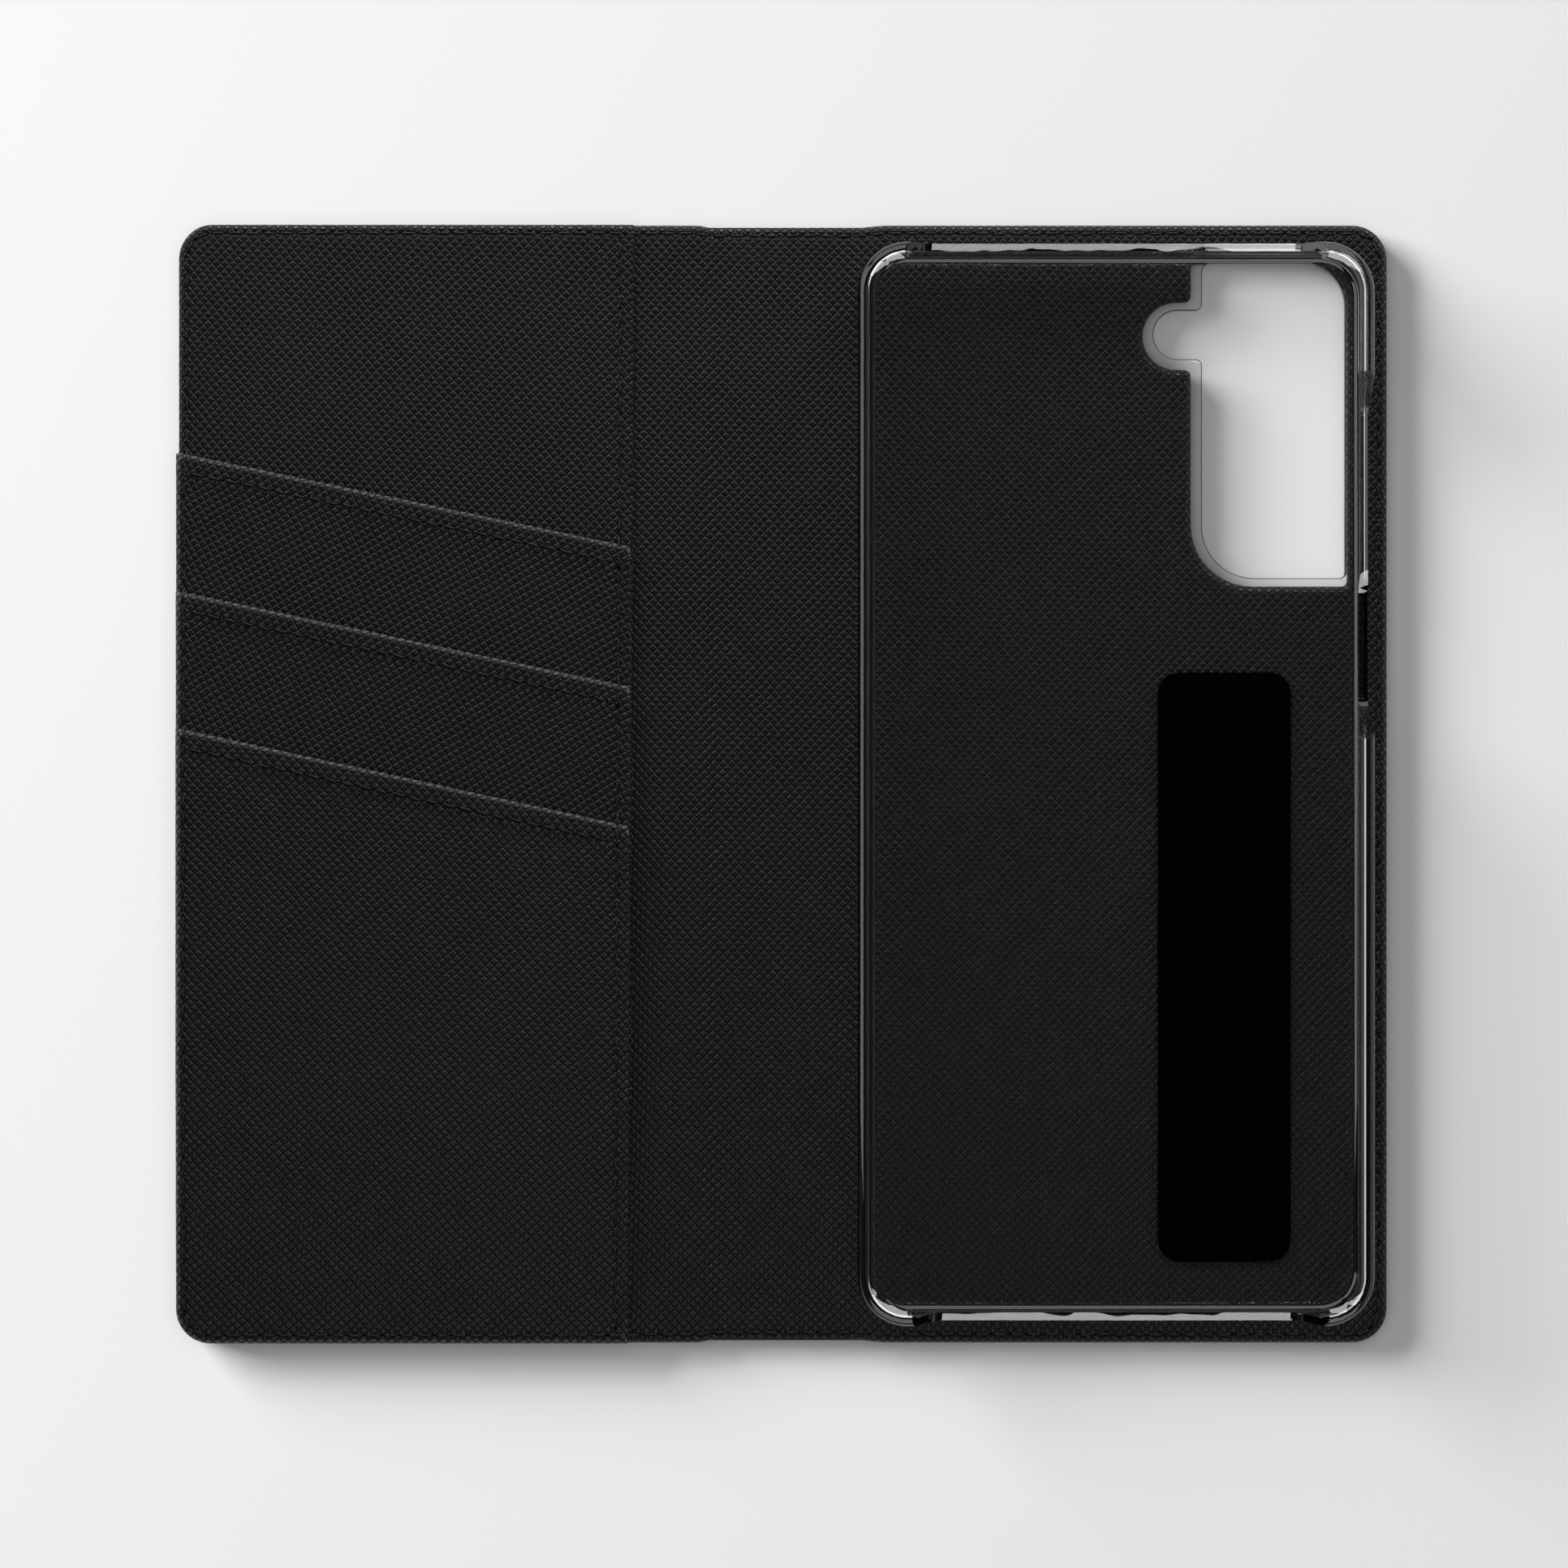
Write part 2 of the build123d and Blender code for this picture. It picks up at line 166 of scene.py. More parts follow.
def loop_distance(x, y, loop):
    """Signed distance to a loop, positive outside it."""
    best = np.full(len(x), 1e9)
    for (x0, y0), (x1, y1) in zip(loop, loop[1:] + loop[:1]):
        dx, dy = x1 - x0, y1 - y0
        size = dx * dx + dy * dy
        if size < 1e-12:
            continue
        t = np.clip(((x - x0) * dx + (y - y0) * dy) / size, 0, 1)
        best = np.minimum(best, np.hypot(x - x0 - t * dx, y - y0 - t * dy))
    return np.where(inside(x, y, loop), -best, best)


def fill(rim, loops, lines, holes, margin, step):
    """Triangles over a rim loop, with the loops and lines as edges and a grid inside them."""
    points, edges = [], []

    def add(path, closed):
        first = len(points)
        points.extend(path)
        last = len(points) - 1
        edges.extend((i, i + 1) for i in range(first, last))
        if closed:
            edges.append((last, first))

    for loop in [rim, *holes, *loops]:
        add(loop, True)
    for line in lines:
        add(divide(line, step), False)
    xs, ys = np.array(rim).T
    gx, gy = np.meshgrid(
        np.arange(xs.min() + step / 2, xs.max(), step), np.arange(ys.min() + step / 2, ys.max(), step)
    )
    gx, gy = gx.ravel(), gy.ravel()
    keep = loop_distance(gx, gy, rim) < -margin
    for hole in holes:
        keep &= loop_distance(gx, gy, hole) > margin
    for line in lines:
        lx = [p[0] for p in line]
        if max(lx) - min(lx) < 1e-6:
            keep &= np.abs(gx - lx[0]) > 0.35 * step
    points.extend(zip(gx[keep].tolist(), gy[keep].tolist()))
    verts, _, faces, *_ = delaunay_2d_cdt([Vector(p) for p in points], edges, [], 0, 1e-4)
    verts = np.array([tuple(v) for v in verts])
    tris = np.array([f for f in faces if len(f) == 3])
    middle = verts[tris].mean(axis=1)
    keep = inside(middle[:, 0], middle[:, 1], rim)
    for hole in holes:
        keep &= ~inside(middle[:, 0], middle[:, 1], hole)
    tris = tris[keep]
    a, b, c = (verts[tris[:, k]] for k in range(3))
    area = (b[:, 0] - a[:, 0]) * (c[:, 1] - a[:, 1]) - (b[:, 1] - a[:, 1]) * (c[:, 0] - a[:, 0])
    tris[area < 0] = tris[area < 0][:, ::-1]
    return verts, tris[np.abs(area) > 1e-9]


# ---------------------------------------------------------------- heights


def ramp(v, a, b):
    """0 at a to 1 at b, smoothly."""
    t = np.clip((v - a) / (b - a), 0, 1)
    return t * t * (3 - 2 * t)


def hump(v, centre, width):
    return np.exp(-(((v - centre) / width) ** 2))


def edge_distance(x, y):
    """How far a point is in from the cover's outline."""
    qx = np.abs(x) - (HALF_X - CORNER_R)
    qy = np.abs(y) - (HALF_Y - CORNER_R)
    past = np.hypot(np.maximum(qx, 0), np.maximum(qy, 0))
    return CORNER_R - past - np.minimum(np.maximum(qx, qy), 0)


WINDOW_LOOP = outline(WINDOW, 0, 1.5)


def rim_distance(x, y):
    """How far a point is from the nearest edge of the cover, the window's edge among them."""
    d = edge_distance(x, y)
    near = (x > 45) & (y > 20)
    if near.any():
        d = d.copy()
        d[near] = np.minimum(d[near], loop_distance(x[near], y[near], WINDOW_LOOP))
    return d


def wave(x, y):
    """Gentle unevenness of leather over board."""
    long = np.sin(x * 0.11 + 1.3 * np.sin(y * 0.045 + 0.6)) * np.sin(y * 0.083 + 0.9 * np.sin(x * 0.05))
    short = np.sin(x * 0.31 + y * 0.12 + 1.7) * np.sin(y * 0.27 - x * 0.09 + 0.4)
    return 0.045 * long + 0.014 * short


def quarter(d, width):
    """Share of the drop at distance d in from a rounded edge: 1 at the edge, 0 past width."""
    t = 1 - np.clip(d / width, 0, 1)
    return 1 - np.sqrt(np.maximum(1 - t * t, 0))


def seam_valley(d):
    return SEAM_DEPTH * hump(d, SEAM, 0.42)


def lining_level(x):
    """Lining over the boards, lower over the spine, with a crease at the boards' edges."""
    ax = np.abs(x)
    level = SPINE_Z + (LINING_Z - SPINE_Z) * ramp(ax, BOARD_END - 2.2, BOARD_END + 0.3)
    level = level - 0.07 * hump(ax, BOARD_END - 0.1, 0.22)
    return level - 0.05 * hump(x, -1.6, 0.4) - 0.02 * hump(x, 3.4, 0.7)


def lining_top(x, y):
    d = rim_distance(x, y)
    level = lining_level(x)
    calm = ramp(d, 0.5, 6)
    small = np.where(x > 0, 0.5, 1.0)
    level = level + wave(x, y) * calm * small * ramp(np.abs(x), 0, 6)
    drop = (level - MID_Z - RIM_GAP) * quarter(d, RIM_ROUND)
    edge = edge_distance(x, y)
    stitched = np.where(edge < SEAM_REACH, seam_valley(edge), 0)
    return level - drop - stitched, drop


def lining_bottom(x, y):
    z, _ = lining_top(x, y)
    return np.maximum(z - LEATHER_T, MID_Z + 0.01)


def skin_bottom(x, y):
    d = rim_distance(x, y)
    ax = np.abs(x)
    past_stiffener = ramp(ax, STIFFENER_HALF, STIFFENER_HALF + 1.4)
    before_board = ramp(ax, BOARD_END + 0.2, BOARD_END - 1.2)
    lift = 0.14 * past_stiffener * before_board
    drop = (MID_Z - RIM_GAP - lift) * quarter(d, RIM_ROUND)
    edge = edge_distance(x, y)
    stitched = np.where(edge < SEAM_REACH, 0.8 * seam_valley(edge), 0)
    return lift + drop + stitched, drop


def skin_top(x, y):
    z, _ = skin_bottom(x, y)
    return np.minimum(z + LEATHER_T, MID_Z - 0.01)


def free_edge_x(y):
    share = (HALF_Y - y) / (2 * HALF_Y)
    return PANEL_EDGE_TOP + share * (PANEL_EDGE_LOW - PANEL_EDGE_TOP)


def mouth_y(index, x):
    left, right = MOUTHS[index]
    return left + (x - MOUTH_X[0]) / (MOUTH_X[1] - MOUTH_X[0]) * (right - left)


def mouth_distance(index, x, y):
    left, right = MOUTHS[index]
    slope = (right - left) / (MOUTH_X[1] - MOUTH_X[0])
    return (mouth_y(index, x) - y) / math.hypot(1, slope)


def layer_base(index, y):
    """Nominal underside of a pocket layer; -1 is the cash panel."""
    base = LINING_Z + POCKET_T * (index + 1)
    for floor in FLOORS[: max(index, 0)]:
        base = base - POCKET_T * ramp(y, floor + 3, floor - 13)
    return base


def pressed(level, d, edge):
    """A pocket layer's height near the cover's edge, where all the layers are sewn flat."""
    drop = 0.45 * (level - MID_Z) * quarter(d, 1.2)
    return level - drop - seam_valley(d) - 0.12 * hump(edge, PANEL_SEAM, 0.45), drop


def layer_top(index, x, y):
    d = edge_distance(x, y)
    edge = free_edge_x(y) - x
    level = layer_base(index, y) + POCKET_T + wave(x, y) * ramp(d, 0.5, 6) * ramp(edge, 0, 8)
    level = level + np.zeros(len(x))
    z, drop = pressed(level, d, edge)
    if index >= 0:
        m = mouth_distance(index, x, y)
        hem = HEM_T * (1 - ramp(m, HEM_W - 1.0, HEM_W + 0.5)) * (1 - 0.12 * hump(m, 0.4, 0.5))
        hem = hem - 0.17 * hump(m, HEM_SEAM, 0.42)
        across = np.clip((x + HALF_X) / (HALF_X + PANEL_EDGE_TOP), 0, 1)
        lift = MOUTH_LIFT * np.sin(math.pi * across) * np.exp(-np.maximum(m, 0) / MOUTH_REACH)
        roll = (POCKET_T + HEM_T - 0.12) * quarter(m, HEM_ROLL)
        z = z + (hem + lift) * (0.35 + 0.65 * ramp(d, 0, 1.5)) - roll
        drop = drop + roll
    fold = (0.38 if index < 0 else 0.3) * quarter(edge - (POCKET_EDGE_BACK if index >= 0 else 0), 0.5)
    return z - fold, drop + fold


def layer_bottom(index, x, y):
    d = edge_distance(x, y)
    if index < 0:
        return lining_top(x, y)[0] - 0.03
    edge = free_edge_x(y) - x
    level = layer_base(index, y) + wave(x, y) * ramp(d, 0.5, 6) * ramp(edge, 0, 8) + np.zeros(len(x))
    z, _ = pressed(level, d, edge)
    m = mouth_distance(index, x, y)
    across = np.clip((x + HALF_X) / (HALF_X + PANEL_EDGE_TOP), 0, 1)
    lift = MOUTH_LIFT * np.sin(math.pi * across) * np.exp(-np.maximum(m, 0) / MOUTH_REACH)
    return z + lift * ramp(d, 0, 1.5) - 0.02


def front_top(x, y):
    """Height of whatever lies on top of the cover at a point."""
    z = lining_top(x, y)[0]
    on_panel = free_edge_x(y) - x > 0
    z = np.where(on_panel, layer_top(-1, x, y)[0], z)
    for index in range(3):
        on = on_panel & (mouth_distance(index, x, y) > 0.15) & (free_edge_x(y) - x > POCKET_EDGE_BACK)
        z = np.where(on, layer_top(index, x, y)[0], z)
    return z


def shaped(x, y, pockets=False):
    """Small shifts in plan: the edges draw in at the spine and beside the cash pocket."""
    pull = 0.3 * ramp(x, -12.2, -10.4) * ramp(x, 14.5, 11.5) * ramp(HALF_Y - np.abs(y), 6, 0)
    y = y - np.sign(y) * pull
    if not pockets:
        x = x + 0.38 * ramp(y, 42, 49) * ramp(-x, HALF_X - 9, HALF_X)
    return x, y


# ---------------------------------------------------------------- meshes


# How strongly the rounded edges, the pockets' folds and the covers' rims, get a painted highlight in the
# leather's colour and a smoother grain
FOLD_HIGHLIGHT_AND_SMOOTHING = 1.0
RIM_HIGHLIGHT_AND_SMOOTHING = 0.25
# How much further the grain runs over a rounded edge than its plan, per millimetre of drop
ROUND_STRETCH = 0.57


def build(name, verts, faces, uvs=None, slots=None, sharp=50, worn=None):
    """A mesh object from points in millimetres, with grain coordinates for each face corner."""
    mesh = bpy.data.meshes.new(name)
    mesh.from_pydata([tuple(v) for v in np.asarray(verts) * MM], [], faces)
    if uvs is not None:
        layer = mesh.uv_layers.new(name="Grain")
        layer.data.foreach_set("uv", np.asarray(uvs, np.float32).ravel())
    mesh.polygons.foreach_set("use_smooth", [True] * len(mesh.polygons))
    if slots is not None:
        mesh.polygons.foreach_set("material_index", slots)
    # Per-point mask of the painted edge highlight, which the leather also uses to smooth its grain
    if worn is not None:
        edge = mesh.attributes.new("edge_highlight_and_smoothing", "FLOAT", "POINT")
        edge.data.foreach_set("value", np.asarray(worn, np.float32))
    mesh.set_sharp_from_angle(angle=math.radians(sharp))
    mesh.validate()
    obj = bpy.data.objects.new(name, mesh)
    bpy.context.collection.objects.link(obj)
    return obj


def sheet_solid(name, plan, keep, top, bottom, rim, pockets=False):
    """A closed sheet over the kept triangles of a plan, between two height functions."""
    verts, tris = plan
    if keep is not None:
        tris = tris[keep(verts[tris].mean(axis=1))]
    used, tris = np.unique(tris, return_inverse=True)
    tris = tris.reshape(-1, 3)
    x, y = verts[used].T
    z1, drop1 = top(x, y)
    z0 = bottom(x, y)
    z0, drop0 = z0 if isinstance(z0, tuple) else (z0, np.zeros(len(x)))
    z0 = np.minimum(z0, z1 - 0.02)
    step = 0.02
    out_x = rim(x - step, y) - rim(x + step, y)
    out_y = rim(x, y - step) - rim(x, y + step)
    size = np.maximum(np.hypot(out_x, out_y), 1e-6)
    out = np.stack([out_x / size, out_y / size], 1)
    flat = np.stack([x, y], 1)
    uv1 = flat + out * (ROUND_STRETCH * drop1)[:, None]
    uv0 = flat + out * (ROUND_STRETCH * drop0)[:, None]
    wall = uv1 + out * (z1 - z0)[:, None]
    px, py = shaped(x, y, pockets)
    n = len(x)
    points = np.concatenate([np.stack([px, py, z1], 1), np.stack([px, py, z0], 1)])
    pairs = np.concatenate([tris[:, [0, 1]], tris[:, [1, 2]], tris[:, [2, 0]]])
    seen = {(a, b) for a, b in pairs.tolist()}
    border = [(a, b) for a, b in seen if (b, a) not in seen]
    faces = tris.tolist() + (tris[:, ::-1] + n).tolist()
    faces += [(b, a, a + n, b + n) for a, b in border]
    uvs = [uv1[tris].reshape(-1, 2), uv0[tris[:, ::-1]].reshape(-1, 2)]
    uvs += [np.array([uv1[b], uv1[a], wall[a], wall[b]]) for a, b in border]
    # Painted highlight: over the rounded part of the top face a mask lightens the leather's colour and
    # smooths its grain, fully on pocket folds and a quarter on cover rims
    highlight_and_smoothing_level = FOLD_HIGHLIGHT_AND_SMOOTHING if pockets else RIM_HIGHLIGHT_AND_SMOOTHING
    worn = np.concatenate([highlight_and_smoothing_level * ramp(drop1, 0.02, 0.2), np.zeros(n)])
    return build(name, points, faces, np.concatenate(uvs), worn=worn)


def along(path, pitch):
    """Points and directions spaced evenly along an open path."""
    path = np.array(path)
    gaps = np.hypot(*np.diff(path, axis=0).T)
    at = np.concatenate([[0], np.cumsum(gaps)])
    count = max(1, round(at[-1] / pitch))
    s = (np.arange(count) + 0.5) * at[-1] / count
    x, y = np.interp(s, at, path[:, 0]), np.interp(s, at, path[:, 1])
    ahead = np.stack([np.interp(s + 0.4, at, path[:, 0]), np.interp(s + 0.4, at, path[:, 1])], 1)
    behind = np.stack([np.interp(s - 0.4, at, path[:, 0]), np.interp(s - 0.4, at, path[:, 1])], 1)
    d = ahead - behind
    return x, y, d / np.hypot(d[:, 0], d[:, 1])[:, None]


# The thread, and how far its stitches stand up and the needle holes spread
STITCH_PITCH = 2.5
STITCH_LENGTH = 2.05
THREAD_R = 0.16
THREAD_RISE = 0.09
THREAD_DIP = 0.24
HOLE_LENGTH = 0.23
HOLE_WIDTH = 0.21


def stitches(name, runs):
    """Sewn thread: for each run (path, height function, side, slant) a row of stitches, with a near-black
    plug at each needle hole as painted shade.
    """
    rng = random.Random(name)
    verts, faces, uvs, slots = [], [], [], []
    ring, rows = 7, 9
    for path, height, side, slant, pockets in runs:
        xs, ys, ds = along(path, STITCH_PITCH)
        for x, y, d in zip(xs, ys, ds):
            turn = math.radians(slant + rng.uniform(-2.5, 2.5))
            ux = d[0] * math.cos(turn) - d[1] * math.sin(turn)
            uy = d[0] * math.sin(turn) + d[1] * math.cos(turn)
            half = STITCH_LENGTH / 2 * rng.uniform(0.93, 1.05)
            radius = THREAD_R * rng.uniform(0.9, 1.1)
            shift = rng.uniform(-0.05, 0.05)
            t = np.linspace(-1, 1, rows)
            cx, cy = x - uy * shift + ux * half * t, y + ux * shift + uy * half * t
            ground = height(cx, cy)
            ends = height(np.array([cx[0], cx[-1]]), np.array([cy[0], cy[-1]]))
            share = (t + 1) / 2
            ground = np.maximum(ground * side, side * (ends[0] * (1 - share) + ends[1] * share))
            cz = side * (ground + THREAD_RISE - THREAD_DIP * np.abs(t) ** 3.2)
            girth = radius * (1 - 0.35 * np.abs(t) ** 4)
            px, py = shaped(cx, cy, pockets)
            base = len(verts)
            for r in range(rows):
                for k in range(ring):
                    a = 2 * math.pi * k / ring
                    off = math.cos(a) * girth[r]
                    verts.append((px[r] - uy * off, py[r] + ux * off, cz[r] + math.sin(a) * 0.8 * girth[r]))
            for r in range(rows - 1):
                for k in range(ring):
                    a, b = base + r * ring + k, base + r * ring + (k + 1) % ring
                    faces.append((a + ring, b + ring, b, a))
                    s0, s1 = r * 2 * half / (rows - 1), (r + 1) * 2 * half / (rows - 1)
                    v0, v1 = k / ring, (k + 1) / ring
                    uvs += [(s1, v0), (s1, v1), (s0, v1), (s0, v0)]
                    slots.append(0)
            faces.append(tuple(base + k for k in range(ring)))
            faces.append(tuple(base + (rows - 1) * ring + k for k in reversed(range(ring))))
            uvs += [(0, 0)] * (2 * ring)
            slots += [0, 0]
            # Painted shade of the needle holes: a near-black plug at each end of a stitch, its top just
            # above the leather
            for end in (-1, 1):
                hx = np.array([x + ux * (half + 0.02) * end - uy * shift])
                hy = np.array([y + uy * (half + 0.02) * end + ux * shift])
                hz = height(hx, hy)[0]
                hx, hy = shaped(hx, hy, pockets)
                base = len(verts)
                wide = HOLE_LENGTH * rng.uniform(0.85, 1.1)
                deep = HOLE_WIDTH * rng.uniform(0.85, 1.1)
                for level in (0.012, -0.1):
                    for k in range(8):
                        a = 2 * math.pi * k / 8
                        along_x, along_y = math.cos(a) * wide, math.sin(a) * deep
                        verts.append(
                            (
                                hx[0] + ux * along_x - uy * along_y,
                                hy[0] + uy * along_x + ux * along_y,
                                hz + side * level,
                            )
                        )
                up = [base + k for k in range(8)]
                down = [base + 8 + k for k in range(8)]
                if side < 0:
                    up, down = up[::-1], down[::-1]
                faces.append(tuple(up))
                faces.append(tuple(reversed(down)))
                for k in range(8):
                    faces.append((up[(k + 1) % 8], up[k], down[k], down[(k + 1) % 8]))
                uvs += [(0, 0)] * (16 + 32)
                slots += [1] * 10
    obj = build(name, verts, faces, uvs, slots, 60)
    obj.data.materials.append(thread_mat)
    obj.data.materials.append(hole_shade_mat)
    return obj


# ---------------------------------------------------------------- materials


class Nodes:
    """Short calls for building one material's nodes."""

    def __init__(self, name):
        self.mat = bpy.data.materials.new(name)
        self.mat.use_nodes = True
        self.tree = self.mat.node_tree
        self.tree.nodes.clear()
        self.out = self.tree.nodes.new("ShaderNodeOutputMaterial")

    def add(self, kind, **settings):
        node = self.tree.nodes.new(kind)
        for key, value in settings.items():
            setattr(node, key, value)
        return node

    def link(self, a, b):
        self.tree.links.new(a, b)

    def put(self, socket, value):
        if isinstance(value, bpy.types.NodeSocket):
            self.link(value, socket)
        else:
            socket.default_value = value

    def math(self, operation, *values):
        node = self.add("ShaderNodeMath", operation=operation)
        for socket, value in zip(node.inputs, values):
            self.put(socket, value)
        return node.outputs[0]

    def dot(self, vector, direction):
        node = self.add("ShaderNodeVectorMath", operation="DOT_PRODUCT")
        self.put(node.inputs[0], vector)
        node.inputs[1].default_value = direction
        return node.outputs["Value"]

    def remap(self, value, a, b, c, d):
        """Smoothly from c, where the value is a, to d, where it is b."""
        node = self.add("ShaderNodeMapRange", interpolation_type="SMOOTHSTEP")
        self.put(node.inputs["Value"], value)
        for key, number in zip(("From Min", "From Max", "To Min", "To Max"), (a, b, c, d)):
            node.inputs[key].default_value = number
        return node.outputs["Result"]

    def noise(self, vector, scale, detail=2.0, rough=0.5):
        node = self.add("ShaderNodeTexNoise")
        self.put(node.inputs["Vector"], vector)
        node.inputs["Scale"].default_value = scale
        node.inputs["Detail"].default_value = detail
        node.inputs["Roughness"].default_value = rough
        return node

    def mix(self, factor, a, b):
        node = self.add("ShaderNodeMix", data_type="RGBA")
        self.put(node.inputs[0], factor)
        self.put(node.inputs[6], a)
        self.put(node.inputs[7], b)
        return node.outputs[2]

    def bump(self, height, distance, strength=1.0):
        node = self.add("ShaderNodeBump")
        node.inputs["Strength"].default_value = strength
        node.inputs["Distance"].default_value = distance
        self.link(height, node.inputs["Height"])
        return node.outputs["Normal"]

    def principled(self, **values):
        node = self.add("ShaderNodeBsdfPrincipled")
        for key, value in values.items():
            self.put(node.inputs[key.replace("_", " ")], value)
        self.link(node.outputs[0], self.out.inputs["Surface"])
        return node


def grey(v):
    return (v, v, v, 1.0)


GRAIN_PITCH = 0.95


def leather(name, angle_a, angle_b, tone=1.0):
    """Black cross-grain leather: flat diamonds between two families of pressed grooves, the grooves painted
    near black as painted shade and the rounded edges given a painted highlight.
    """
    n = Nodes(name)
    uv = n.add("ShaderNodeUVMap", uv_map="Grain").outputs[0]
    wander = n.noise(uv, 0.25, 1.0)
    centred = n.add("ShaderNodeVectorMath", operation="SUBTRACT")
    n.link(wander.outputs["Color"], centred.inputs[0])
    centred.inputs[1].default_value = (0.5, 0.5, 0.5)
    drift = n.add("ShaderNodeVectorMath", operation="MULTIPLY_ADD")
    n.link(centred.outputs[0], drift.inputs[0])
    drift.inputs[1].default_value = (0.5, 0.5, 0)
    n.link(uv, drift.inputs[2])
    at = drift.outputs[0]
    ridges = []
    for angle in (angle_a, angle_b):
        a = math.radians(angle)
        across = n.dot(at, (math.cos(a) / GRAIN_PITCH, math.sin(a) / GRAIN_PITCH, 0))
        from_groove = n.math("PINGPONG", across, 0.5)
        ridges.append(n.remap(from_groove, 0.03, 0.26, 0.0, 1.0))
    diamond = n.math("MULTIPLY", ridges[0], ridges[1])
    fine = n.noise(uv, 5.0, 2.0, 0.6).outputs["Fac"]
    patch = n.noise(uv, 0.06, 2.0).outputs["Fac"]
    speck = n.noise(uv, 1.6, 2.0).outputs["Fac"]
    height = n.math("ADD", diamond, n.math("MULTIPLY", n.math("SUBTRACT", fine, 0.5), 0.10))
    edge_highlight_and_smoothing = n.add("ShaderNodeAttribute", attribute_name="edge_highlight_and_smoothing").outputs["Fac"]
    smoothed = n.math("MULTIPLY", height, n.remap(edge_highlight_and_smoothing, 0.0, 1.0, 1.0, 0.45))
    normal = n.bump(smoothed, 0.00024)
    top = n.mix(n.remap(patch, 0.35, 0.65, 0.0, 1.0), grey(0.0075 * tone), grey(0.011 * tone))
    worn = n.mix(n.remap(speck, 0.45, 0.75, 0.0, 0.5), top, grey(0.016 * tone))
    # Painted shade: the grooves between the diamonds are near black, darker than the tops
    grain_with_groove_shade = n.mix(diamond, grey(0.001 * tone), worn)
    # Painted highlight: where the edge mask is set, the diamond tops are lightened towards grey 0.1
    colour = n.mix(n.math("MULTIPLY", edge_highlight_and_smoothing, n.remap(diamond, 0.1, 0.7, 0.0, 1.0)), grain_with_groove_shade, grey(0.1))
    uneven = n.math("MULTIPLY", n.math("SUBTRACT", fine, 0.5), 0.16)
    rough = n.math("ADD", n.remap(diamond, 0, 1, 0.6, 0.34), uneven)
    n.principled(Base_Color=colour, Roughness=rough, Specular_IOR_Level=0.45, IOR=1.45, Normal=normal)
    return n.mat


def thread():
    """Waxed dark grey sewing thread, with its twist across the length."""
    n = Nodes("thread")
    uv = n.add("ShaderNodeUVMap", uv_map="Grain").outputs[0]
    twist = n.math("PINGPONG", n.dot(uv, (2.6, 1.0, 0)), 0.5)
    ply = n.remap(twist, 0.0, 0.3, 0.0, 1.0)
    normal = n.bump(ply, 0.00005)
    colour = n.mix(ply, grey(0.003), grey(0.012))
    n.principled(Base_Color=colour, Roughness=0.46, Specular_IOR_Level=0.35, Normal=normal)
    return n.mat


# Painted shade: the near-black colour of the plugs that stand for the needle holes
def hole():
    n = Nodes("needle_hole_shade")
    at = n.add("ShaderNodeTexCoord").outputs["Object"]
    shade = n.mix(n.noise(at, 4000.0, 1.0).outputs["Fac"], grey(0.0006), grey(0.0016))
    n.principled(Base_Color=shade, Roughness=0.95, Specular_IOR_Level=0.05)
    return n.mat


def cardboard():
    n = Nodes("board")
    at = n.add("ShaderNodeTexCoord").outputs["Object"]
    fibre = n.noise(at, 900.0, 4.0, 0.7).outputs["Fac"]
    colour = n.mix(fibre, (0.16, 0.15, 0.13, 1), (0.3, 0.28, 0.25, 1))
    n.principled(Base_Color=colour, Roughness=0.9, Normal=n.bump(fibre, 0.00008))
    return n.mat


def adhesive():
    """Matt black adhesive pad seen through the tray's back."""
    n = Nodes("adhesive_pad")
    at = n.add("ShaderNodeTexCoord").outputs["Object"]
    cell = n.noise(at, 2500.0, 2.0).outputs["Fac"]
    colour = n.mix(cell, grey(0.0002), grey(0.0007))
    n.principled(Base_Color=colour, Roughness=0.95, Specular_IOR_Level=0.0, Normal=n.bump(cell, 0.00002))
    return n.mat


def clear_plastic():
    """Clear moulded polycarbonate, with faint waviness, its rounded edges coloured near black as painted
    shade for the dark lines that light bending there makes. Its shadow is light, as clear plastic's is.
    """
    n = Nodes("clear_plastic")
    at = n.add("ShaderNodeTexCoord").outputs["Object"]
    flow = n.noise(at, 90.0, 2.0).outputs["Fac"]
    scuff = n.noise(at, 700.0, 3.0, 0.6).outputs["Fac"]
    facing = n.math("ABSOLUTE", n.dot(n.add("ShaderNodeTexCoord").outputs["Normal"], (0, 0, 1)))
    not_flat = n.remap(facing, 0.97, 0.88, 0.0, 1.0)
    not_upright = n.remap(facing, 0.1, 0.25, 0.0, 1.0)
    # Painted shade: faces that are neither flat nor upright, the rounded edges, get a near-black base
    # colour
    rounded = n.math("MULTIPLY", not_flat, not_upright)
    body = n.principled(
        Base_Color=n.mix(rounded, grey(0.92), grey(0.03)),
        Roughness=n.remap(scuff, 0.45, 0.8, 0.004, 0.018),
        IOR=1.5,
        Transmission_Weight=1.0,
        Normal=n.bump(flow, 0.00006, 0.35),
    )
    through = n.add("ShaderNodeBsdfTransparent")
    through.inputs["Color"].default_value = grey(0.84)
    path = n.add("ShaderNodeLightPath")
    shader = body.outputs[0]
    for kind in ("Is Diffuse Ray", "Is Shadow Ray"):
        both = n.add("ShaderNodeMixShader")
        n.link(path.outputs[kind], both.inputs[0])
        n.link(shader, both.inputs[1])
        n.link(through.outputs[0], both.inputs[2])
        shader = both.outputs[0]
    n.link(shader, n.out.inputs["Surface"])
    return n.mat


